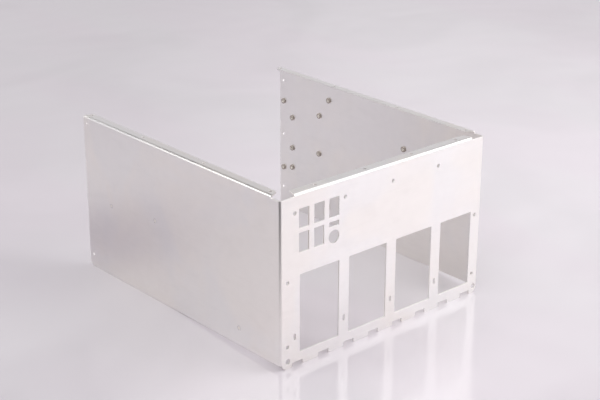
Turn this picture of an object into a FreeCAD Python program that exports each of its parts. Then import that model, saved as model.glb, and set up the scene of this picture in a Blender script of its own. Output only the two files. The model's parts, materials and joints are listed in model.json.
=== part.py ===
import FreeCAD, Part

import math
import os

os.makedirs("parts", exist_ok=True)
Vector = FreeCAD.Vector

# A chassis folded from one sheet: a front panel, a side panel bent back from each end of
# it, and a narrow flange turned inwards along the top of all three. The back, top and
# bottom are open. Threaded fasteners are clinched into the two side panels.
#
# Frame: X runs across the front to the right, Y from front to back, Z up. The origin is
# the middle of the footprint, level with the lowest edge of the front panel. Places on
# the sheet are given as a designer reads them off a drawing: from the left or front
# outer face and from the lowest edge. All sizes are in millimetres.

# Folded sheet, outside sizes.
width = 270.0
depth = 311.5
height = 173.5
sheet = 1.5
bend_inside = 1.0
side_rise = 5.3             # lower edge of the sides above that of the front
rear_corner_chamfer = 3.5   # lower rear corner of each side

# Top flanges. The corners between them are left open so that the sheet can fold.
flange_width = 10.5         # outer face to free edge
front_flange_setback = 17.7  # end of the front flange from the outer face of a side
front_flange_taper = 2.4    # lean of its ends over the flat
side_flange_setback = 12.2  # end of a side flange from the outer face of the front
side_flange_taper = 4.4
flange_corner = 2.4
corner_relief = 0.2         # walls at the open corners below the foot of the flange bends

# Four bays low in the front panel, the last of them narrower, with bars between them.
bay_count = 4
bay_left = 24.5
bay_right = 14.8            # from the last bay to the outer face of the right side
bay_bar = 13.0
last_bay_width = 44.1
bay_bottom = 13.5
bay_height = 79.2
bay_corner = 1.0

# Small windows above the first bay: two rows of three, the last place of the lower row
# taken by a narrow window over a round hole.
window_columns = 3
window_left = 23.2
window_bar = 6.3            # sheet left between two windows of a row
window_hole_gap = 7.6       # from the last window to the next hole of the row over the bays
window_height = 19.2
window_drop = 15.6          # top of the upper row below the top of the front
window_row_pitch = 23.8
narrow_window_height = 4.9
round_hole_diameter = 13.2
round_hole_drop = 54.7

# Rows of fixing holes over the bays and slots beside them, one to each bay.
row_left = 18.1
row_hole_drop = 18.5
row_hole_diameter = 4.0
slot_height = 30.8
slot_width = 2.6
slot_length = 6.4

# Holes down both ends of the front panel.
end_hole_inset = 9.2
end_hole_heights = (22.5, 88.2)
end_hole_diameter = 4.0
corner_hole_left = 9.6
corner_hole_right = 5.9
corner_hole_height = 7.4
corner_hole_diameter = 5.6

# Castellated lower edge of the front panel.
notch_count = 8
notch_left = 14.9
notch_right = 12.2
notch_width = 13.3
notch_height = 4.4

# Holes in the top flanges, on the middle line of the flat. Those in the sides are given
# from the front for the first two and from the rear edge for the other two.
flange_hole_diameter = 3.6
front_flange_hole_left = 48.2
side_flange_front_holes = (20.0, 117.3)
side_flange_rear_holes = (96.5, 6.5)

# Plain holes down the rear edge of each side. The right one has a third, midway.
rear_hole_inset = 6.4
right_rear_hole_bottom = 28.6
right_rear_hole_drop = 14.9
right_rear_hole_diameter = 3.6
left_rear_hole_bottom = 19.2
left_rear_hole_drop = 7.3
left_rear_hole_diameter = 3.4

# Self-clinching nuts in the right side, in upright columns: how far the column is from
# the rear edge, its nuts measured down from the top, and its nuts measured up.
nut_columns = (
    (rear_hole_inset, (39.8,), (52.6,)),
    (21.5, (56.5,), (80.2, 56.3)),
    (67.4, (42.8,), (85.3,)),
    (82.9, (21.0,), (24.2,)),
    (201.1, (46.4,), ()),
)
nut_diameter = 6.3
nut_head_height = 1.5
nut_shank_diameter = 4.2
nut_shank_gap = 0.1         # shank end below the outer face of the side
nut_bore_diameter = 2.5     # tapping size of an M3 thread

# Blind standoffs clinched into the left side, their hexagon heads flush outside: how far
# each is from the front and above the lowest edge.
standoff_places = ((depth - 44.0, 85.6), (depth - 120.4, 92.7), (60.1, 23.2))
standoff_across_flats = 4.8
standoff_head_thickness = 0.9
standoff_barrel_diameter = 4.2
standoff_length = 10.0      # outer face of the side to the free end
standoff_bore_diameter = 2.5
standoff_bore_depth = 7.0

# Worked out from the sizes above.
bend_outside = bend_inside + sheet
left = -width / 2
front = -depth / 2
wall_top = height - bend_outside - corner_relief
flange_flat_middle = (bend_outside + flange_width) / 2
bay_pitch = (width - bay_left - last_bay_width - bay_right) / (bay_count - 1)
bay_width = bay_pitch - bay_bar
windows_width = row_left + bay_pitch - window_hole_gap - window_left
window_width = (windows_width + window_bar) / window_columns - window_bar
window_pitch = window_width + window_bar
window_bottom = height - window_drop - window_height - window_row_pitch
notch_pitch = (width - notch_left - notch_width - notch_right) / (notch_count - 1)
right_rear_hole_top = height - right_rear_hole_drop
right_rear_hole_middle = (right_rear_hole_bottom + right_rear_hole_top) / 2
right_rear_holes = (right_rear_hole_bottom, right_rear_hole_middle, right_rear_hole_top)
left_rear_holes = (left_rear_hole_bottom, height - left_rear_hole_drop)
nut_places = [
    (depth - from_rear, nut_height)
    for from_rear, drops, rises in nut_columns
    for nut_height in [height - drop for drop in drops] + list(rises)
]
cutter_reach = sheet + 2.0  # a cutter that starts one millimetre outside the sheet
X, Y, Z = Vector(1, 0, 0), Vector(0, 1, 0), Vector(0, 0, 1)


def quarter(centre, radius, start, end):
    """Quarter circle about centre, from the start direction to the end direction."""
    middle = (start + end) * (radius / math.sqrt(2))
    return Part.Arc(centre + start * radius, centre + middle, centre + end * radius).toShape()


def closed_face(curves):
    """Face inside curves given in order, joined by straight edges where they don't meet."""
    edges = []
    for index, curve in enumerate(curves):
        edges.append(curve)
        end = curve.lastVertex(True).Point
        begin = curves[(index + 1) % len(curves)].firstVertex(True).Point
        if end.distanceToPoint(begin) > 1e-6:
            edges.append(Part.makeLine(end, begin))
    return Part.Face(Part.Wire(edges))


def folded_walls():
    """Front and side panels with their two upright bends, down to the sides' lower edge."""
    corner_x, corner_y = width / 2 - bend_outside, front + bend_outside
    left_corner = Vector(-corner_x, corner_y, side_rise)
    right_corner = Vector(corner_x, corner_y, side_rise)
    rear_edges = [
        Part.makeLine(Vector(x, depth / 2, side_rise), Vector(x + step, depth / 2, side_rise))
        for x, step in ((width / 2, -sheet), (left + sheet, -sheet))
    ]
    section = closed_face([
        quarter(left_corner, bend_outside, -X, -Y),
        quarter(right_corner, bend_outside, -Y, X),
        rear_edges[0],
        quarter(right_corner, bend_inside, X, -Y),
        quarter(left_corner, bend_inside, -Y, -X),
        rear_edges[1],
    ])
    return section.extrude(Z * (wall_top - side_rise))


def front_apron():
    """Strip of the front panel that hangs below the sides, with round lower corners."""
    end = width / 2 - bend_outside
    outline = closed_face([
        quarter(Vector(side_rise - end, front, side_rise), side_rise, -X, -Z),
        quarter(Vector(end - side_rise, front, side_rise), side_rise, -Z, X),
    ])
    return outline.extrude(Y * sheet)


def top_flange(length, taper):
    """Flange and its bend along +X from the origin, outer face on the XZ plane."""
    bend_centre = Vector(0, bend_outside, height - bend_outside)
    free_edge = Part.makeLine(
        Vector(0, flange_width, height), Vector(0, flange_width, height - sheet)
    )
    foot = Part.makeLine(Vector(0, sheet, wall_top), Vector(0, 0, wall_top))
    section = closed_face([
        quarter(bend_centre, bend_outside, -Y, Z),
        free_edge,
        quarter(bend_centre, bend_inside, Z, -Y),
        foot,
    ])
    corners = [
        Vector(0, -1, 0), Vector(0, bend_outside, 0), Vector(taper, flange_width, 0),
        Vector(length - taper, flange_width, 0), Vector(length, bend_outside, 0),
        Vector(length, -1, 0),
    ]
    plan = Part.Face(Part.makePolygon(corners + corners[:1])).extrude(Z * (height + 1))
    free_corners = [
        edge for edge in plan.Edges
        if abs(edge.tangentAt(0).z) > 0.9 and edge.firstVertex().Y > flange_width - 0.01
    ]
    return section.extrude(X * length).common(plan.makeFillet(flange_corner, free_corners))


def turned(shape, degrees, base):
    """Copy of shape turned about the Z axis and then moved to base."""
    copy = shape.copy()
    copy.rotate(Vector(0, 0, 0), Z, degrees)
    copy.translate(base)
    return copy


def top_flanges():
    """The front flange and the two side flanges, in place."""
    front_one = top_flange(width - 2 * front_flange_setback, front_flange_taper)
    side_one = top_flange(depth - side_flange_setback, side_flange_taper)
    right_one = turned(side_one, 90, Vector(width / 2, front + side_flange_setback, 0))
    return [
        turned(front_one, 0, Vector(left + front_flange_setback, front, 0)),
        right_one,
        right_one.mirror(Vector(0, 0, 0), X),
    ]


def front_window(x, z, wide, high):
    """Cutter for a square-cornered window in the front panel, its lower left corner at x, z."""
    return Part.makeBox(wide, cutter_reach, high, Vector(left + x, front - 1, z))


def front_bay(x, wide):
    """Cutter for a bay: a window with small round corners."""
    block = front_window(x, bay_bottom, wide, bay_height)
    along_y = [edge for edge in block.Edges if abs(edge.tangentAt(0).y) > 0.9]
    return block.makeFillet(bay_corner, along_y)


def front_hole(x, z, diameter):
    """Cutter for a round hole in the front panel."""
    return Part.makeCylinder(diameter / 2, cutter_reach, Vector(left + x, front - 1, z), Y)


def front_slot(x, z, wide, long):
    """Cutter for an upright slot with round ends in the front panel."""
    reach = long / 2 - wide / 2
    ends = [front_hole(x, z + side, wide) for side in (-reach, reach)]
    block = Part.makeBox(wide, cutter_reach, 2 * reach,
                         Vector(left + x - wide / 2, front - 1, z - reach))
    return block.multiFuse(ends).removeSplitter()


def side_hole(side, y, z, diameter):
    """Cutter for a round hole in a side panel: side is -1 for the left, 1 for the right."""
    start = Vector(side * (width / 2 + 1), front + y, z)
    return Part.makeCylinder(diameter / 2, cutter_reach, start, X * -side)


def flange_hole(x, y):
    """Cutter for a round hole in a top flange, at a place in the frame."""
    start = Vector(x, y, height - sheet - 1)
    return Part.makeCylinder(flange_hole_diameter / 2, cutter_reach, start, Z)


def bay_windows():
    """Cutters for the four bays and the fixings that go with each of them."""
    cutters = []
    for index in range(bay_count):
        shift = index * bay_pitch
        wide = last_bay_width if index == bay_count - 1 else bay_width
        cutters += [
            front_bay(bay_left + shift, wide),
            front_hole(row_left + shift, height - row_hole_drop, row_hole_diameter),
            front_slot(row_left + shift, slot_height, slot_width, slot_length),
        ]
    return cutters


def small_windows():
    """Cutters for the two rows of small windows and the round hole."""
    cutters = []
    for row in range(2):
        for column in range(window_columns):
            x = window_left + column * window_pitch
            z = window_bottom + row * window_row_pitch
            high = window_height
            if row == 0 and column == window_columns - 1:
                z += window_height - narrow_window_height
                high = narrow_window_height
                middle = x + window_width / 2
                round_hole_height = height - round_hole_drop
                cutters.append(front_hole(middle, round_hole_height, round_hole_diameter))
            cutters.append(front_window(x, z, window_width, high))
    return cutters


def end_holes():
    """Cutters for the holes down both ends of the front panel."""
    cutters = [
        front_hole(x, z, end_hole_diameter)
        for x in (end_hole_inset, width - end_hole_inset)
        for z in end_hole_heights
    ]
    for x in (corner_hole_left, width - corner_hole_right):
        cutters.append(front_hole(x, corner_hole_height, corner_hole_diameter))
    return cutters


def edge_notches():
    """Cutters for the castellated lower edge, each open downwards."""
    return [
        front_window(notch_left + index * notch_pitch, -notch_height, notch_width,
                     2 * notch_height)
        for index in range(notch_count)
    ]


def top_flange_holes():
    """Cutters for the holes in the three top flanges."""
    cutters = [
        flange_hole(left + front_flange_hole_left + index * bay_pitch, front + flange_flat_middle)
        for index in range(bay_count)
    ]
    from_rear = [depth - inset for inset in side_flange_rear_holes]
    for y in list(side_flange_front_holes) + from_rear:
        for side in (-1, 1):
            cutters.append(flange_hole(side * (width / 2 - flange_flat_middle), front + y))
    return cutters


def rear_corner(side):
    """Cutter for the chamfer on the lower rear corner of a side."""
    points = [
        Vector(side * (width / 2 + 1), depth / 2 + 1, side_rise - 1),
        Vector(side * (width / 2 + 1), depth / 2 - rear_corner_chamfer - 1, side_rise - 1),
        Vector(side * (width / 2 + 1), depth / 2 + 1, side_rise + rear_corner_chamfer + 1),
    ]
    triangle = Part.Face(Part.makePolygon(points + points[:1]))
    return triangle.extrude(X * (-side * cutter_reach))


def side_cutters():
    """Cutters for the sides: rear edge holes, fastener seats and rear corners."""
    cutters = [rear_corner(-1), rear_corner(1)]
    rear_line = depth - rear_hole_inset
    cutters += [side_hole(1, rear_line, z, right_rear_hole_diameter) for z in right_rear_holes]
    cutters += [side_hole(-1, rear_line, z, left_rear_hole_diameter) for z in left_rear_holes]
    cutters += [side_hole(1, y, z, nut_shank_diameter) for y, z in nut_places]
    for y, z in standoff_places:
        cutters.append(side_hole(-1, y, z, standoff_barrel_diameter))
        cutters.append(hexagon_head(y, z))
    return cutters


def hexagon_head(y, z):
    """Hexagon sunk in the outer face of the left side, a flat pair level."""
    radius = standoff_across_flats / math.sqrt(3)
    corners = [
        Vector(left, front + y + radius * math.cos(turn), z + radius * math.sin(turn))
        for turn in (index * math.pi / 3 for index in range(6))
    ]
    return Part.Face(Part.makePolygon(corners + corners[:1])).extrude(X * standoff_head_thickness)


def chassis():
    """The whole folded sheet as one solid."""
    sheet_metal = folded_walls().multiFuse([front_apron()] + top_flanges()).removeSplitter()
    cutters = (bay_windows() + small_windows() + end_holes() + edge_notches()
               + top_flange_holes() + side_cutters())
    return sheet_metal.cut(cutters).removeSplitter().Solids[0]


def turned_piece(outline):
    """Solid of revolution from an outline of (along, radius) points, its axis on X."""
    points = [Vector(along, radius, 0) for along, radius in outline]
    face = Part.Face(Part.makePolygon(points + points[:1]))
    return face.revolve(Vector(0, 0, 0), X, 360)


def clinch_nut(y, z):
    """Self-clinching nut: shank in the right side, head against its inner face."""
    head, shank, bore = nut_diameter / 2, nut_shank_diameter / 2, nut_bore_diameter / 2
    top = sheet + nut_head_height
    nut = turned_piece([
        (nut_shank_gap, bore), (nut_shank_gap, shank), (sheet, shank), (sheet, head),
        (top, head), (top, bore),
    ])
    nut.rotate(Vector(0, 0, 0), Z, 180)
    nut.translate(Vector(width / 2, front + y, z))
    return nut


def blind_standoff(y, z):
    """Standoff clinched in the left side: flush hexagon head, barrel with a blind bore."""
    barrel, bore = standoff_barrel_diameter / 2, standoff_bore_diameter / 2
    bore_end = standoff_length - standoff_bore_depth
    drill_tip = bore_end - bore / math.sqrt(3)
    body = turned_piece([
        (0, 0), (0, barrel), (standoff_length, barrel), (standoff_length, bore),
        (bore_end, bore), (drill_tip, 0),
    ])
    body.translate(Vector(left, front + y, z))
    return body.fuse(hexagon_head(y, z)).removeSplitter().Solids[0]


def export(shape, name):
    """Write one checked solid as a named sub-part."""
    if not shape.isValid() or len(shape.Solids) != 1:
        raise ValueError(name + " is not one valid solid")
    shape.exportStep("parts/" + name + ".step")
    print(name, round(shape.Volume, 1))


export(chassis(), "folded_sheet_chassis")
for number, (nut_y, nut_z) in enumerate(nut_places, 1):
    export(clinch_nut(nut_y, nut_z), "clinch_nut_%02d" % number)
for number, (standoff_y, standoff_z) in enumerate(standoff_places, 1):
    export(blind_standoff(standoff_y, standoff_z), "blind_standoff_%02d" % number)
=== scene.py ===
import json
import math

import bmesh
import bpy
from bpy.props import FloatProperty, FloatVectorProperty, IntProperty, PointerProperty
from bpy.types import Operator, Panel, PropertyGroup
from mathutils import Matrix, Vector


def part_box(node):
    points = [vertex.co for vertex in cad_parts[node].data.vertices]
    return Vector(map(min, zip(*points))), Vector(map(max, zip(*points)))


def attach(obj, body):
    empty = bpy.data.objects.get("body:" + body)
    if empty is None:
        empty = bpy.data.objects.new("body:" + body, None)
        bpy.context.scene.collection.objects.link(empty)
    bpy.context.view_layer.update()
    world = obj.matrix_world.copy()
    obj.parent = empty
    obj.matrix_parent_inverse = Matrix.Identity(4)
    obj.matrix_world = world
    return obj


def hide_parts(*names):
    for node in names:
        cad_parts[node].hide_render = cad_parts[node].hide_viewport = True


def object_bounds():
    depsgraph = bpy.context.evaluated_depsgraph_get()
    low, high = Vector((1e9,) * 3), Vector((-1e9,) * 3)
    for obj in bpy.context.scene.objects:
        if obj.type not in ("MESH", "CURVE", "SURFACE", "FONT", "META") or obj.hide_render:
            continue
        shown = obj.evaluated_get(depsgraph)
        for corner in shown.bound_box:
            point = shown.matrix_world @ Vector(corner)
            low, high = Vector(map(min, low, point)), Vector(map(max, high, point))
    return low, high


bl_info = {
    "name": "Folded Sheet Metal Chassis",
    "version": (1, 0, 0),
    "blender": (4, 5, 0),
    "location": "View3D > Sidebar > Chassis",
    "description": "Finishes a folded sheet metal chassis, cuts the threads of its fasteners and lights it",
    "category": "Object",
}

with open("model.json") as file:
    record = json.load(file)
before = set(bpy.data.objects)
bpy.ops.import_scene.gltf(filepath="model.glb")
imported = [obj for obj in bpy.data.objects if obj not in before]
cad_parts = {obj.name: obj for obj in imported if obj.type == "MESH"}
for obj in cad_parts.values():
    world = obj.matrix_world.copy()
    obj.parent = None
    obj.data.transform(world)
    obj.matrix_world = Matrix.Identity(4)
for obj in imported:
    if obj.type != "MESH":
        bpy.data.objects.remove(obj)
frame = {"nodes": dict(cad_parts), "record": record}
CAD_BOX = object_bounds()
SHEET_NODE = "folded_sheet_chassis"
NUT_NODES = sorted(name for name in frame["nodes"] if name.startswith("clinch_nut"))
STANDOFF_NODES = sorted(name for name in frame["nodes"] if name.startswith("blind_standoff"))
MOUNTS = {mount["name"]: mount for mount in frame["record"]["mounts"]}
MM = 0.001
CARD_BLACK = (0.01, 0.01, 0.01)
WORN_METAL = (0.97, 0.965, 0.96)
RUBBED_METAL = (0.82, 0.80, 0.78)


# ---------------------------------------------------------------- sizes and colours

class SheetFinish(PropertyGroup):
    """Finish of the folded sheet."""
    colour: FloatVectorProperty(
        name="Sheet colour", description="Bare metal where the sheet is coolest in tone",
        subtype="COLOR", size=3, min=0, max=1, default=(0.920, 0.908, 0.895))
    warm_colour: FloatVectorProperty(
        name="Warm patches", description="Metal where the plating has a faint warm tint",
        subtype="COLOR", size=3, min=0, max=1, default=(0.950, 0.922, 0.888))
    roughness: FloatProperty(
        name="Roughness", description="Mean roughness of the rolled surface",
        subtype="FACTOR", min=0, max=1, default=0.33)
    patch_size: FloatProperty(
        name="Patch size", description="Width of the cloudy patches in the plating",
        unit="LENGTH", subtype="DISTANCE", min=0.001, default=0.085)
    grain_spacing: FloatProperty(
        name="Grain spacing", description="Distance between rolling lines",
        unit="LENGTH", subtype="DISTANCE", min=0.00005, default=0.0006)
    grain_length: FloatProperty(
        name="Grain length", description="Length of one rolling line",
        unit="LENGTH", subtype="DISTANCE", min=0.001, default=0.11)
    edge_radius: FloatProperty(
        name="Edge radius", description="Radius that deburring leaves on a cut edge",
        unit="LENGTH", subtype="DISTANCE", min=0, default=0.00025)


class FastenerFinish(PropertyGroup):
    """Finish and small forms of the clinch nuts and standoffs."""
    colour: FloatVectorProperty(
        name="Fastener colour", description="Plated steel of the fasteners",
        subtype="COLOR", size=3, min=0, max=1, default=(0.50, 0.45, 0.40))
    standoff_colour: FloatVectorProperty(
        name="Standoff colour", description="Plating of the standoffs, near that of the sheet",
        subtype="COLOR", size=3, min=0, max=1, default=(0.84, 0.82, 0.82))
    # Painted highlight: the bore's bright colour stands in for lamp light falling through the bore onto its
    # far wall.
    bore_highlight_colour: FloatVectorProperty(
        name="Bore highlight colour", description="Painted highlight on the tapped bore, standing in for lamp light through it",
        subtype="COLOR", size=3, min=0, max=1, default=(0.95, 0.92, 0.86))
    bore_highlight_radius: FloatProperty(
        name="Bore highlight radius", description="Distance from the axis within which the bore gets its painted highlight",
        unit="LENGTH", subtype="DISTANCE", min=0.0001, default=0.0017)
    roughness: FloatProperty(
        name="Roughness", description="Mean roughness of the turned faces",
        subtype="FACTOR", min=0, max=1, default=0.30)
    ring_spacing: FloatProperty(
        name="Turning rings", description="Scale of the rings that turning leaves on the faces",
        unit="LENGTH", subtype="DISTANCE", min=0.00001, default=0.00028)
    thread_pitch: FloatProperty(
        name="Thread pitch", description="Advance of the thread in one turn",
        unit="LENGTH", subtype="DISTANCE", min=0.0001, default=0.0005)
    thread_depth: FloatProperty(
        name="Thread depth", description="Depth of the thread below the tapping bore",
        unit="LENGTH", subtype="DISTANCE", min=0.00005, default=0.00026)
    edge_chamfer: FloatProperty(
        name="Edge chamfer", description="Chamfer on the turned outer edges",
        unit="LENGTH", subtype="DISTANCE", min=0, default=0.00025)
    seat_groove: FloatProperty(
        name="Seat groove", description="Groove left round a head pressed into the sheet",
        unit="LENGTH", subtype="DISTANCE", min=0, default=0.00012)
    shank_diameter: FloatProperty(
        name="Nut shank", description="Diameter of the nut where it goes through the sheet",
        unit="LENGTH", subtype="DISTANCE", min=0.001, default=0.0042)
    shank_length: FloatProperty(
        name="Nut shank length", description="Length of the shank inside the sheet",
        unit="LENGTH", subtype="DISTANCE", min=0.0001, default=0.0014)
    barrel_diameter: FloatProperty(
        name="Standoff barrel", description="Diameter of the standoff barrel",
        unit="LENGTH", subtype="DISTANCE", min=0.001, default=0.0042)
    hexagon_thickness: FloatProperty(
        name="Hexagon thickness", description="Thickness of the standoff head in the sheet",
        unit="LENGTH", subtype="DISTANCE", min=0.0001, default=0.0009)
    segments: IntProperty(
        name="Segments", description="Faces round one fastener, a multiple of six",
        min=24, default=48)


class StudioSettings(PropertyGroup):
    """Floor, lamps and camera."""
    # Painted light and shade: the floor colour runs from darker away from the low lamp to lighter beside
    # it.
    shaded_floor_left: FloatVectorProperty(
        name="Floor, left", description="Floor colour away from the low lamp",
        subtype="COLOR", size=3, min=0, max=1, default=(0.725, 0.690, 0.724))
    lit_floor_right: FloatVectorProperty(
        name="Floor, right", description="Floor colour beside the low lamp",
        subtype="COLOR", size=3, min=0, max=1, default=(0.875, 0.835, 0.872))
    floor_size: FloatProperty(
        name="Floor size", description="Side of the floor",
        unit="LENGTH", subtype="DISTANCE", min=1, default=14.0)
    fine_reach: FloatProperty(
        name="Fine floor", description="How far from the middle the floor has small cells",
        unit="LENGTH", subtype="DISTANCE", min=0.2, default=0.36)
    fine_step: FloatProperty(
        name="Floor cell", description="Side of a small cell of the floor",
        unit="LENGTH", subtype="DISTANCE", min=0.002, default=0.012)
    side_rise: FloatProperty(
        name="Side rise", description="Height of the sides' lower edge over the front's, "
                    "to which the soft floor rises behind the front",
        unit="LENGTH", subtype="DISTANCE", min=0, default=0.0052)
    rise_left: FloatProperty(
        name="Rise at the left", description="How far behind the front the floor meets the left side",
        unit="LENGTH", subtype="DISTANCE", min=0.02, default=0.195)
    rise_right: FloatProperty(
        name="Rise at the right", description="How far behind the front the floor meets the right side",
        unit="LENGTH", subtype="DISTANCE", min=0.02, default=0.110)
    low_light: FloatProperty(
        name="Light low down", description="Strength of the surroundings near the horizon",
        min=0, default=0.79)
    high_light: FloatProperty(
        name="Light high up", description="Strength of the surroundings above the backdrop",
        min=0, default=0.18)
    key_power: FloatProperty(
        name="Key power", description="Power of the overhead lamp",
        unit="POWER", min=0, default=13.9)
    side_power: FloatProperty(
        name="Side power", description="Power of the low lamp at the front right",
        unit="POWER", min=0, default=10.0)
    left_power: FloatProperty(
        name="Left power", description="Power of the small lamp beside the left side",
        unit="POWER", min=0, default=1.0)
    wash_power: FloatProperty(
        name="Wash power", description="Power of the lamp that lights the far floor",
        unit="POWER", min=0, default=9.0)
    flag_reach: FloatProperty(
        name="Flag reach", description="Length of the dark card in front of the left bend",
        unit="LENGTH", subtype="DISTANCE", min=0.1, default=1.3)
    flag_height: FloatProperty(
        name="Flag height", description="Height of the dark card above the lowest edge",
        unit="LENGTH", subtype="DISTANCE", min=0, default=0.002)
    rear_flag_place: FloatVectorProperty(
        name="Rear flag place", description="Middle of the dark card hung high behind",
        unit="LENGTH", subtype="XYZ", size=3, default=(0.31, 1.15, 1.25))
    rear_flag_size: FloatVectorProperty(
        name="Rear flag size", description="Half the width and half the height of that card",
        unit="LENGTH", subtype="XYZ", size=2, default=(0.62, 0.26))
    # Painted shade: the grey patch shows only in reflections, as a shaded band of the floor beside the left
    # side.
    shade_patch_place: FloatVectorProperty(
        name="Patch place", description="Middle of the grey patch beside the left side",
        unit="LENGTH", subtype="XYZ", size=2, default=(-0.215, 0.200))
    shade_patch_reach: FloatProperty(
        name="Patch reach", description="Distance from its middle at which the grey patch ends",
        unit="LENGTH", subtype="DISTANCE", min=0.01, default=0.13)
    shade_patch_height: FloatProperty(
        name="Patch height", description="Height of the grey patch above the lowest edge",
        unit="LENGTH", subtype="DISTANCE", min=0, default=0.009)
    shade_patch_colour: FloatVectorProperty(
        name="Patch colour", description="Colour of the middle of the grey patch",
        subtype="COLOR", size=3, min=0, max=1, default=(0.50, 0.455, 0.50))
    camera_azimuth: FloatProperty(
        name="Azimuth", description="Turn of the line of sight from +Y towards +X",
        unit="ROTATION", subtype="ANGLE", default=math.radians(41.443))
    camera_elevation: FloatProperty(
        name="Elevation", description="How far the line of sight looks down",
        unit="ROTATION", subtype="ANGLE", default=math.radians(21.775))
    camera_roll: FloatProperty(
        name="Roll", description="Turn of the camera about the line of sight",
        unit="ROTATION", subtype="ANGLE", default=math.radians(0.105))
    camera_distance: FloatProperty(
        name="Distance", description="Distance from the camera to the point that it looks at",
        unit="LENGTH", subtype="DISTANCE", min=0.1, default=1.62455)
    camera_target: FloatVectorProperty(
        name="Target", description="Point that the camera looks at",
        unit="LENGTH", subtype="XYZ", size=3, default=(0.070336, 0.049320, 0.057055))
    camera_lens: FloatProperty(
        name="Lens", description="Focal length in millimetres on a 36 mm wide sensor",
        min=1, default=88.689)


# ---------------------------------------------------------------- material nodes

class Nodes:
    """Short way to add and join the nodes of one material or world."""

    def __init__(self, tree):
        self.tree = tree
        tree.nodes.clear()

    def add(self, kind, inputs=None, **settings):
        """Node of a kind, with its settings, and its inputs set to values or joined to outputs."""
        made = self.tree.nodes.new(kind)
        for name, value in settings.items():
            setattr(made, name, value)
        for key, value in (inputs or {}).items():
            if isinstance(value, bpy.types.NodeSocket):
                self.tree.links.new(value, made.inputs[key])
            else:
                made.inputs[key].default_value = value
        return made

    def math(self, operation, first, second=0.0, clamp=False):
        """Output of one sum of two values."""
        made = self.add("ShaderNodeMath", {0: first, 1: second}, operation=operation, use_clamp=clamp)
        return made.outputs["Value"]

    def stretched(self, coordinates, sizes, turn=(0, 0, 0)):
        """Coordinates scaled so that one unit is the given size along each axis."""
        made = self.add("ShaderNodeMapping", {
            "Vector": coordinates, "Rotation": turn, "Scale": tuple(1 / size for size in sizes)})
        return made.outputs["Vector"]

    def noise(self, coordinates, detail=2.0, roughness=0.5, distortion=0.0):
        """Value from a noise of unit scale."""
        made = self.add("ShaderNodeTexNoise", {
            "Vector": coordinates, "Scale": 1.0, "Detail": detail, "Roughness": roughness,
            "Distortion": distortion})
        return made.outputs["Fac"]

    def ramp(self, value, low, high):
        """Value spread so that low gives 0 and high gives 1, held between them."""
        made = self.add("ShaderNodeMapRange", {
            "Value": value, "From Min": low, "From Max": high}, interpolation_type="SMOOTHSTEP")
        return made.outputs["Result"]

    def blend(self, share, first, second, blend_type="MIX"):
        """Colour between two colours."""
        made = self.add("ShaderNodeMix", {"Factor": share, 6: first, 7: second},
                        data_type="RGBA", blend_type=blend_type)
        return made.outputs[2]

    def surface(self, shader, kind="ShaderNodeOutputMaterial"):
        """Joins the finished shader to the output."""
        self.add(kind, {"Surface": shader.outputs[0]})


def new_material(name):
    """Fresh material and its nodes."""
    made = bpy.data.materials.new(name)
    made.use_nodes = True
    return made, Nodes(made.node_tree)


def opaque(colour):
    """Colour with full alpha, as a shader socket wants it."""
    return (*colour, 1.0)


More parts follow.
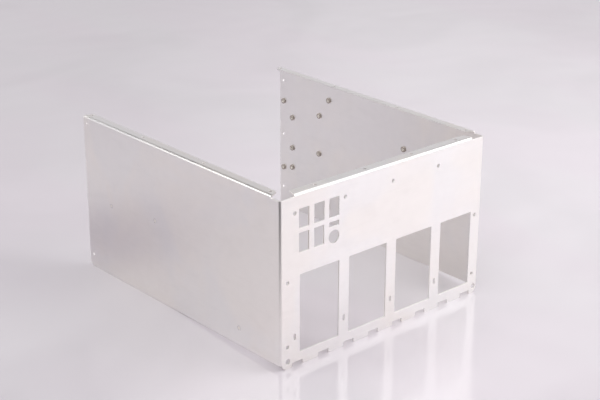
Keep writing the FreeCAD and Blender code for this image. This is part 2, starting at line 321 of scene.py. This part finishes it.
def sheet_material(finish):
    """Satin plated sheet: cloudy patches, rolling lines, rub marks, hairlines and bright worn edges."""
    made, nodes = new_material("satin_plated_sheet")
    place = nodes.add("ShaderNodeTexCoord").outputs["Object"]
    cell = finish.patch_size

    clouds = nodes.noise(nodes.stretched(place, (cell, cell, cell)), detail=2.5, distortion=0.6)
    clouds = nodes.ramp(clouds, 0.36, 0.64)
    mottle = nodes.noise(nodes.stretched(place, (0.011, 0.011, 0.011)), detail=4.0, roughness=0.6)
    lines = nodes.noise(nodes.stretched(
        place, (finish.grain_length, finish.grain_length, finish.grain_spacing)), detail=3.0)
    bands = nodes.noise(nodes.stretched(
        place, (0.25, 0.25, 0.006)), detail=2.0)
    rubs = nodes.noise(nodes.stretched(
        place, (0.05, 0.05, 0.016), turn=(0.3, 0.2, 0.1)), detail=5.0, roughness=0.65, distortion=0.8)
    rubs = nodes.ramp(rubs, 0.52, 0.72)
    hair = nodes.noise(nodes.stretched(
        place, (0.09, 0.09, 0.0035), turn=(0.5, 0.42, 0.3)), detail=1.0, distortion=0.25)
    hair = nodes.math("ABSOLUTE", nodes.math("SUBTRACT", hair, 0.5))
    hair = nodes.math("SUBTRACT", 1.0, nodes.ramp(hair, 0.0, 0.012))
    hair = nodes.math("MULTIPLY", hair, nodes.ramp(mottle, 0.52, 0.62))

    rounded = nodes.add("ShaderNodeBevel", {"Radius": 2.2 * finish.edge_radius}, samples=4)
    flat = nodes.add("ShaderNodeNewGeometry").outputs["Normal"]
    level = nodes.add("ShaderNodeVectorMath", {0: rounded.outputs[0], 1: flat},
                      operation="DOT_PRODUCT").outputs["Value"]
    worn = nodes.math("MULTIPLY", nodes.ramp(nodes.math("SUBTRACT", 1.0, level), 0.02, 0.20),
                      nodes.ramp(mottle, 0.30, 0.55))

    colour = nodes.blend(clouds, opaque(finish.colour), opaque(finish.warm_colour))
    shade = nodes.math("ADD", 0.955, nodes.math("MULTIPLY", mottle, 0.05))
    shade = nodes.math("ADD", shade, nodes.math("MULTIPLY", lines, 0.03))
    shade = nodes.math("SUBTRACT", shade, nodes.math("MULTIPLY", rubs, 0.02))
    grey = nodes.add("ShaderNodeCombineColor", {"Red": shade, "Green": shade, "Blue": shade})
    colour = nodes.blend(1.0, colour, grey.outputs[0], "MULTIPLY")
    colour = nodes.blend(nodes.math("MULTIPLY", worn, 0.6), colour, opaque(WORN_METAL))

    rough = nodes.math("ADD", finish.roughness - 0.07, nodes.math("MULTIPLY", clouds, 0.05))
    rough = nodes.math("ADD", rough, nodes.math("MULTIPLY", bands, 0.06))
    rough = nodes.math("ADD", rough, nodes.math("MULTIPLY", mottle, 0.05))
    rough = nodes.math("ADD", rough, nodes.math("MULTIPLY", rubs, 0.06))
    rough = nodes.math("SUBTRACT", rough, nodes.math("MULTIPLY", worn, 0.08), clamp=True)

    height = nodes.math("ADD", nodes.math("MULTIPLY", lines, 0.5), nodes.math("MULTIPLY", mottle, 0.3))
    height = nodes.math("SUBTRACT", height, nodes.math("MULTIPLY", hair, 0.6))
    bump = nodes.add("ShaderNodeBump", {
        "Strength": 0.10, "Distance": 0.0002, "Height": height, "Normal": rounded.outputs[0]})

    nodes.surface(nodes.add("ShaderNodeBsdfPrincipled", {
        "Base Color": colour, "Metallic": 1.0, "Roughness": rough, "Normal": bump.outputs[0]}))
    return made


def fastener_material(name, colour, finish):
    """Plated steel with turning rings, mottled plating, rubbed edges and a painted highlight in the tapped
    bore, standing in for lamp light that falls through it.
    """
    made, nodes = new_material(name)
    place = nodes.add("ShaderNodeTexCoord").outputs["Object"]
    rings = nodes.add("ShaderNodeTexWave", {
        "Vector": place, "Scale": 1 / (finish.ring_spacing * 2 * math.pi), "Distortion": 0.4,
        "Detail": 2.0, "Detail Scale": 1.0}, wave_type="RINGS", rings_direction="X").outputs["Fac"]
    plating = nodes.noise(nodes.stretched(place, (0.0016, 0.0016, 0.0016)), detail=4.0, roughness=0.6)
    specks = nodes.ramp(nodes.noise(nodes.stretched(place, (0.0004, 0.0004, 0.0004)), detail=2.0),
                        0.56, 0.70)
    rounded = nodes.add("ShaderNodeBevel", {"Radius": 0.0002}, samples=4)
    flat = nodes.add("ShaderNodeNewGeometry").outputs["Normal"]
    level = nodes.add("ShaderNodeVectorMath", {0: rounded.outputs[0], 1: flat},
                      operation="DOT_PRODUCT").outputs["Value"]
    rubbed = nodes.ramp(nodes.math("SUBTRACT", 1.0, level), 0.02, 0.18)

    # Painted highlight: within this radius of the axis the bore is painted bright, in place of lamp light
    # through the bore.
    radius = nodes.add("ShaderNodeVectorMath", {0: place, 1: (0.0, 1.0, 1.0)}, operation="MULTIPLY")
    radius = nodes.add("ShaderNodeVectorMath", {0: radius.outputs[0]}, operation="LENGTH")
    bore_highlight = nodes.ramp(radius.outputs["Value"], finish.bore_highlight_radius, 0.9 * finish.bore_highlight_radius)

    dull = tuple(0.80 * part for part in colour)
    speck = tuple(0.60 * part for part in colour)
    colour = nodes.blend(nodes.ramp(plating, 0.35, 0.65), opaque(colour), opaque(dull))
    colour = nodes.blend(nodes.math("MULTIPLY", specks, 0.35), colour, opaque(speck))
    colour = nodes.blend(nodes.math("MULTIPLY", rubbed, 0.45), colour, opaque(RUBBED_METAL))
    colour = nodes.blend(bore_highlight, colour, opaque(finish.bore_highlight_colour))
    rough = nodes.math("ADD", finish.roughness - 0.06, nodes.math("MULTIPLY", plating, 0.14))
    rough = nodes.math("ADD", rough, nodes.math("MULTIPLY", bore_highlight, 0.15))
    rough = nodes.math("ADD", rough, nodes.math("MULTIPLY", specks, 0.12))
    rough = nodes.math("SUBTRACT", rough, nodes.math("MULTIPLY", rubbed, 0.08), clamp=True)
    height = nodes.math("ADD", rings, nodes.math("MULTIPLY", plating, 0.6))
    bump = nodes.add("ShaderNodeBump", {
        "Strength": 0.25, "Distance": 0.00004, "Height": height, "Normal": rounded.outputs[0]})
    nodes.surface(nodes.add("ShaderNodeBsdfPrincipled", {
        "Base Color": colour, "Metallic": 1.0, "Roughness": rough, "Normal": bump.outputs[0]}))
    return made


def floor_material(settings, direction):
    """Pale glossy sheet of backdrop: its colour is lighter towards the low lamp, a painted pool of light
    and painted shade beside the lamps, with soft clouds and ripples.
    """
    made, nodes = new_material("pale_glossy_floor")
    place = nodes.add("ShaderNodeTexCoord").outputs["Object"]
    across = nodes.add("ShaderNodeVectorMath", {0: place, 1: direction},
                       operation="DOT_PRODUCT").outputs["Value"]
    # Painted light: the floor colour brightens across the floor towards the low lamp.
    side = nodes.ramp(across, -0.34, 0.25)
    clouds = nodes.noise(nodes.stretched(place, (0.32, 0.32, 0.32)), detail=2.0, distortion=1.2)
    tint = nodes.noise(nodes.stretched(place, (0.20, 0.45, 0.3), turn=(0, 0, 0.6)), detail=1.5)
    colour = nodes.blend(side, opaque(settings.shaded_floor_left), opaque(settings.lit_floor_right))
    warm = nodes.blend(0.5, colour, (1.0, 0.955, 0.985, 1.0), "MULTIPLY")
    colour = nodes.blend(nodes.ramp(tint, 0.40, 0.62), colour, warm)
    shade = nodes.math("ADD", 0.955, nodes.math("MULTIPLY", nodes.ramp(clouds, 0.30, 0.62), 0.06))
    grey = nodes.add("ShaderNodeCombineColor", {"Red": shade, "Green": shade, "Blue": shade})
    colour = nodes.blend(1.0, colour, grey.outputs[0], "MULTIPLY")
    rough = nodes.math("ADD", 0.08, nodes.math("MULTIPLY", clouds, 0.08))
    ripple = nodes.noise(nodes.stretched(place, (0.10, 0.10, 0.10)), detail=1.0)
    bump = nodes.add("ShaderNodeBump", {"Strength": 0.35, "Distance": 0.004, "Height": ripple})
    nodes.surface(nodes.add("ShaderNodeBsdfPrincipled", {
        "Base Color": colour, "Roughness": rough, "IOR": 1.52, "Normal": bump.outputs[0]}))
    return made


# ---------------------------------------------------------------- meshes

def revolved(name, stations, segments):
    """Mesh turned about X from stations along an outline.

    A station is (along, radius), where radius is a number or a function of the angle, and
    a radius of zero closes the outline in one point.
    """
    work = bmesh.new()
    rows = []
    for along, radius in stations:
        if radius == 0:
            rows.append([work.verts.new((along, 0, 0))])
            continue
        row = []
        for index in range(segments):
            angle = 2 * math.pi * index / segments
            reach = radius(angle) if callable(radius) else radius
            row.append(work.verts.new((along, reach * math.cos(angle), reach * math.sin(angle))))
        rows.append(row)
    for row, following in zip(rows, rows[1:]):
        for index in range(segments):
            after = (index + 1) % segments
            corners = [row[index % len(row)], row[after % len(row)],
                       following[after % len(following)], following[index % len(following)]]
            corners = list(dict.fromkeys(corners))
            if len(corners) > 2:
                work.faces.new(corners)
    bmesh.ops.remove_doubles(work, verts=work.verts, dist=1e-7)
    bmesh.ops.recalc_face_normals(work, faces=work.faces)
    mesh = bpy.data.meshes.new(name)
    work.to_mesh(mesh)
    work.free()
    return mesh


def threaded_bore(start, end, bore, finish, mouths):
    """Stations of a threaded bore from start to end, opened to a cone at the ends in mouths."""
    pitch, depth = finish.thread_pitch, finish.thread_depth
    count = max(2, math.ceil(8 * abs(end - start) / pitch))

    def radius_at(along):
        cones = [bore + depth - abs(along - mouth) for mouth in mouths]

        def reach(angle):
            turn = (along / pitch + angle / (2 * math.pi)) % 1.0
            groove = min(1.0, 1.25 * (1 - abs(2 * turn - 1)))
            return max([bore + depth * groove] + cones)
        return reach

    alongs = [start + (end - start) * index / count for index in range(count + 1)]
    return [(along, radius_at(along)) for along in alongs]


def hexagon(apothem):
    """Radius of a hexagon with a flat pair level, as a function of the angle."""
    side = math.pi / 3

    def reach(angle):
        return apothem / math.cos((angle + side) % side - side / 2)
    return reach


def add_piece(name, mesh, place, material, node):
    """Object for a mesh at a place, riding on the chassis in the stead of its node."""
    piece = bpy.data.objects.new(name, mesh)
    bpy.context.scene.collection.objects.link(piece)
    piece.location = place
    mesh.materials.append(material)
    mesh.shade_smooth()
    mesh.set_sharp_from_angle(angle=math.radians(35))
    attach(piece, "root")
    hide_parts(node)
    return piece


# ---------------------------------------------------------------- operators

class CHASSIS_OT_sheet(Operator):
    """Give the folded sheet its satin finish and softened edges."""
    bl_idname = "chassis.finish_sheet"
    bl_label = "Finish Folded Sheet"

    def execute(self, context):
        finish = context.scene.chassis_sheet
        sheet = frame["nodes"][SHEET_NODE]
        material = sheet_material(finish)
        for slot in sheet.material_slots:
            slot.material = material
        return {"FINISHED"}


class CHASSIS_OT_nuts(Operator):
    """Build the self-clinching nuts with chamfered heads and threaded bores."""
    bl_idname = "chassis.build_nuts"
    bl_label = "Build Clinch Nuts"

    def execute(self, context):
        finish = context.scene.chassis_fasteners
        material = fastener_material("dull_nut_steel", tuple(finish.colour), finish)
        for node in NUT_NODES:
            low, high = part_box(node)
            head = (high.y - low.y) / 2
            bore = MOUNTS[node.replace("clinch_nut", "nut_thread")]["dims"]["r_mm"] * MM
            shank = finish.shank_diameter / 2
            chamfer = finish.edge_chamfer
            length = high.x - low.x
            outline = [
                (0, bore + finish.thread_depth), (0, head - chamfer), (chamfer, head),
                (length - finish.shank_length, head), (length - finish.shank_length, shank),
                (length - 0.3 * chamfer, shank), (length, shank - 0.3 * chamfer),
                (length, bore + finish.thread_depth),
            ]
            outline += threaded_bore(length, 0, bore, finish, mouths=(0, length))
            mesh = revolved("clinch_nut", outline, finish.segments)
            place = Vector((low.x, (low.y + high.y) / 2, (low.z + high.z) / 2))
            add_piece("threaded_" + node, mesh, place, material, node)
        return {"FINISHED"}


class CHASSIS_OT_standoffs(Operator):
    """Build the blind standoffs with flush hexagon heads and threaded bores."""
    bl_idname = "chassis.build_standoffs"
    bl_label = "Build Blind Standoffs"

    def execute(self, context):
        finish = context.scene.chassis_fasteners
        material = fastener_material("plated_standoff_steel", tuple(finish.standoff_colour), finish)
        for node in STANDOFF_NODES:
            low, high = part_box(node)
            thread = MOUNTS[node.replace("blind_standoff", "standoff_thread")]["dims"]
            bore, depth = thread["r_mm"] * MM, thread["length_mm"] * MM
            apothem, barrel = (high.z - low.z) / 2, finish.barrel_diameter / 2
            groove, chamfer = finish.seat_groove, finish.edge_chamfer
            length = high.x - low.x
            outline = [
                (0, 0), (0, hexagon(apothem - groove)), (groove, hexagon(apothem)),
                (finish.hexagon_thickness, hexagon(apothem)), (finish.hexagon_thickness, barrel),
                (length - chamfer, barrel), (length, barrel - chamfer),
            ]
            outline += threaded_bore(length, length - depth, bore, finish, mouths=(length,))
            outline += [(length - depth, bore), (length - depth - bore / math.sqrt(3), 0)]
            mesh = revolved("blind_standoff", outline, finish.segments)
            place = Vector((low.x, (low.y + high.y) / 2, (low.z + high.z) / 2))
            add_piece("threaded_" + node, mesh, place, material, node)
        return {"FINISHED"}


# Name, place, point that it is turned to, width and height in metres, and setting of its power.
LAMPS = (
    ("overhead_lamp", (0.0, -0.10, 1.5), (0.0, -0.10, 0.0), (2.4, 1.6), "key_power"),
    ("right_lamp", (1.05, -0.95, 0.80), (0.0, 0.0, 0.1), (1.5, 1.3), "side_power"),
    ("left_lamp", (-0.66, 0.33, 0.52), (-0.13, -0.05, 0.15), (0.42, 0.36), "left_power"),
    ("rear_lamp", (-0.1, 2.3, 1.0), (1.2, 1.4, 0.0), (1.2, 0.7), "wash_power"),
)


def add_lamp(name, place, aim, size, power):
    """Soft rectangular lamp at a place, turned to a point."""
    data = bpy.data.lights.new(name, "AREA")
    data.shape = "RECTANGLE"
    data.size, data.size_y = size
    data.energy = power
    lamp = bpy.data.objects.new(name, data)
    bpy.context.scene.collection.objects.link(lamp)
    lamp.location = place
    lamp.rotation_euler = (Vector(aim) - Vector(place)).to_track_quat("-Z", "Y").to_euler()
    lamp.visible_camera = False


def sight_axes(settings):
    """Right, up and back directions of the camera."""
    turn, fall, roll = settings.camera_azimuth, settings.camera_elevation, settings.camera_roll
    ahead = Vector((math.sin(turn) * math.cos(fall), math.cos(turn) * math.cos(fall), -math.sin(fall)))
    right = ahead.cross(Vector((0, 0, 1))).normalized()
    up = right.cross(ahead)
    rolled_right = math.cos(roll) * right + math.sin(roll) * up
    rolled_up = math.cos(roll) * up - math.sin(roll) * right
    return rolled_right, rolled_up, -ahead


def add_camera(settings):
    """Camera at its distance from the target, along the line of sight."""
    right, up, back = sight_axes(settings)
    data = bpy.data.cameras.new("camera")
    data.sensor_width = 36.0
    data.lens = settings.camera_lens
    data.clip_start, data.clip_end = 0.05, 50.0
    camera = bpy.data.objects.new("camera", data)
    bpy.context.scene.collection.objects.link(camera)
    rotation = Matrix((right, up, back)).transposed()
    place = Vector(settings.camera_target) + settings.camera_distance * back
    camera.matrix_world = Matrix.Translation(place) @ rotation.to_4x4()
    bpy.context.scene.camera = camera


def eased(share):
    """Smooth step from 0 to 1."""
    share = min(1.0, max(0.0, share))
    return share * share * (3 - 2 * share)


def floor_height(x, y, settings):
    """Height of the soft floor: flat in front, risen to the sides' lower edges behind it."""
    low, high = CAD_BOX
    share = eased((x - low.x) / (high.x - low.x))
    reach = settings.rise_left + (settings.rise_right - settings.rise_left) * share
    return low.z + settings.side_rise * eased((y - low.y) / reach)


def add_floor(settings):
    """Floor that carries the front's lowest edge and the rear of both sides."""
    half, fine, step = settings.floor_size / 2, settings.fine_reach, settings.fine_step
    count = round(2 * fine / step)
    near = [-fine + step * index for index in range(count + 1)]
    lines = [-half, -2.0, -0.8] + near + [0.8, 2.0, half]  # wide cells away from the chassis
    verts = [(x, y, floor_height(x, y, settings)) for y in lines for x in lines]
    across = len(lines)
    faces = [(row * across + column, row * across + column + 1,
              (row + 1) * across + column + 1, (row + 1) * across + column)
             for row in range(across - 1) for column in range(across - 1)]
    mesh = bpy.data.meshes.new("floor")
    mesh.from_pydata(verts, [], faces)
    mesh.shade_smooth()
    floor = bpy.data.objects.new("floor", mesh)
    bpy.context.scene.collection.objects.link(floor)
    right = sight_axes(settings)[0]
    mesh.materials.append(floor_material(settings, (right.x, right.y, 0)))


def add_reflected_card(name, corners, place, colour, cover):
    """Card that shows only in reflections.

    Where cover(nodes, place on the card) gives 0 it is clear, and where it gives 1 it has the
    full colour.
    """
    mesh = bpy.data.meshes.new(name)
    mesh.from_pydata(corners, [], [(0, 1, 2, 3)])
    made, nodes = new_material(name)
    share = cover(nodes, nodes.add("ShaderNodeTexCoord").outputs["Object"])
    clear = nodes.add("ShaderNodeBsdfTransparent")
    lit = nodes.add("ShaderNodeEmission", {"Color": opaque(colour), "Strength": 1.0})
    nodes.surface(nodes.add("ShaderNodeMixShader", {
        0: share, 1: clear.outputs[0], 2: lit.outputs[0]}))
    mesh.materials.append(made)
    card = bpy.data.objects.new(name, mesh)
    bpy.context.scene.collection.objects.link(card)
    card.location = place
    card.visible_camera = False
    card.visible_diffuse = False
    card.visible_shadow = False
    return card


def rectangle(half_width, half_height):
    """Corners of a level rectangle about the origin."""
    return [(-half_width, -half_height, 0), (half_width, -half_height, 0),
            (half_width, half_height, 0), (-half_width, half_height, 0)]


def add_flag(settings):
    """Dark card on the floor in front of the left bend.

    It is clear near the bend and darkens with distance from it, and fades out to both sides.
    """
    low = CAD_BOX[0]
    turn = settings.camera_azimuth
    reach = settings.flag_reach
    ahead = Vector((-math.sin(turn), -math.cos(turn), 0))
    across = Vector((ahead.y, -ahead.x, 0))
    corners = [across * (side * 1.2 * reach) + ahead * far
               for side, far in ((-1, 0.0), (1, 0.0), (1, reach), (-1, reach))]

    def cover(nodes, place):
        distance = nodes.add("ShaderNodeVectorMath", {0: place}, operation="LENGTH").outputs["Value"]
        along = nodes.add("ShaderNodeVectorMath", {0: place, 1: ahead},
                          operation="DOT_PRODUCT").outputs["Value"]
        middle = nodes.ramp(nodes.math("DIVIDE", along, distance), math.cos(math.radians(62)),
                            math.cos(math.radians(38)))
        return nodes.math("MULTIPLY", middle, nodes.ramp(distance, 0.10, 0.42))

    place = (low.x, low.y, settings.flag_height)
    add_reflected_card("dark_flag", corners, place, CARD_BLACK, cover)


def add_rear_flag(settings):
    """Dark card hung high behind, mirrored along the left top bend."""
    wide, high = settings.rear_flag_size

    def cover(nodes, place):
        parts = nodes.add("ShaderNodeSeparateXYZ", {0: place})
        return nodes.math(
            "MULTIPLY", nodes.ramp(nodes.math("ABSOLUTE", parts.outputs["X"]), wide, 0.7 * wide),
            nodes.ramp(nodes.math("ABSOLUTE", parts.outputs["Y"]), high, 0.6 * high))

    flag = add_reflected_card("rear_flag", rectangle(wide, high), settings.rear_flag_place,
                              CARD_BLACK, cover)
    flag.rotation_euler = (-flag.location).to_track_quat("Z", "Y").to_euler()


def add_reflected_shade_patch(settings):
    """Painted shade: a soft grey patch, seen only in reflections, standing in for a shaded band of the
    floor beside the left side, mirrored low in that side.
    """
    reach = settings.shade_patch_reach

    def cover(nodes, place):
        distance = nodes.add("ShaderNodeVectorMath", {0: place}, operation="LENGTH").outputs["Value"]
        return nodes.ramp(distance, reach, 0.2 * reach)

    # Painted shade: grey emission seen only in reflections, in place of the shaded floor band.
    place = (*settings.shade_patch_place, settings.shade_patch_height)
    add_reflected_card("grey_patch", rectangle(reach, reach), place, settings.shade_patch_colour, cover)


def light_world(settings):
    """Pale backdrop all round, dimmer overhead."""
    world = bpy.data.worlds.new("studio")
    bpy.context.scene.world = world
    world.use_nodes = True
    nodes = Nodes(world.node_tree)
    ahead = nodes.add("ShaderNodeTexCoord").outputs["Generated"]
    height = nodes.add("ShaderNodeSeparateXYZ", {0: ahead}).outputs["Z"]
    strength = nodes.add("ShaderNodeMapRange", {
        "Value": height, "From Min": 0.40, "From Max": 0.56,
        "To Min": settings.low_light, "To Max": settings.high_light},
        interpolation_type="SMOOTHSTEP").outputs["Result"]
    nodes.surface(nodes.add("ShaderNodeBackground", {
        "Color": (1.0, 0.97, 1.0, 1.0), "Strength": strength}),
        "ShaderNodeOutputWorld")


class CHASSIS_OT_studio(Operator):
    """Set up the pale floor, the soft lamps, the surroundings and the camera."""
    bl_idname = "chassis.set_studio"
    bl_label = "Set Up Studio"

    def execute(self, context):
        settings = context.scene.chassis_studio
        add_floor(settings)
        light_world(settings)
        for name, place, aim, size, power in LAMPS:
            add_lamp(name, place, aim, size, getattr(settings, power))
        add_flag(settings)
        add_rear_flag(settings)
        add_reflected_shade_patch(settings)
        add_camera(settings)
        context.scene.view_settings.view_transform = "Standard"
        return {"FINISHED"}


class CHASSIS_PT_panel(Panel):
    """Steps and sizes of the chassis."""
    bl_idname = "CHASSIS_PT_panel"
    bl_label = "Sheet Metal Chassis"
    bl_space_type = "VIEW_3D"
    bl_region_type = "UI"
    bl_category = "Chassis"

    def draw(self, context):
        layout = self.layout
        for operator in OPERATORS:
            layout.operator(operator.bl_idname)
        for settings in (context.scene.chassis_sheet, context.scene.chassis_fasteners,
                         context.scene.chassis_studio):
            box = layout.box()
            for name in settings.bl_rna.properties.keys():
                if name not in ("rna_type", "name"):
                    box.prop(settings, name)


OPERATORS = (CHASSIS_OT_sheet, CHASSIS_OT_nuts, CHASSIS_OT_standoffs, CHASSIS_OT_studio)
CLASSES = (SheetFinish, FastenerFinish, StudioSettings) + OPERATORS + (CHASSIS_PT_panel,)


def register():
    for kind in CLASSES:
        bpy.utils.register_class(kind)
    bpy.types.Scene.chassis_sheet = PointerProperty(type=SheetFinish)
    bpy.types.Scene.chassis_fasteners = PointerProperty(type=FastenerFinish)
    bpy.types.Scene.chassis_studio = PointerProperty(type=StudioSettings)


def unregister():
    del bpy.types.Scene.chassis_studio
    del bpy.types.Scene.chassis_fasteners
    del bpy.types.Scene.chassis_sheet
    for kind in reversed(CLASSES):
        bpy.utils.unregister_class(kind)


def main():
    register()
    bpy.ops.chassis.finish_sheet()
    bpy.ops.chassis.build_nuts()
    bpy.ops.chassis.build_standoffs()
    bpy.ops.chassis.set_studio()


if __name__ == "__main__":
    main()
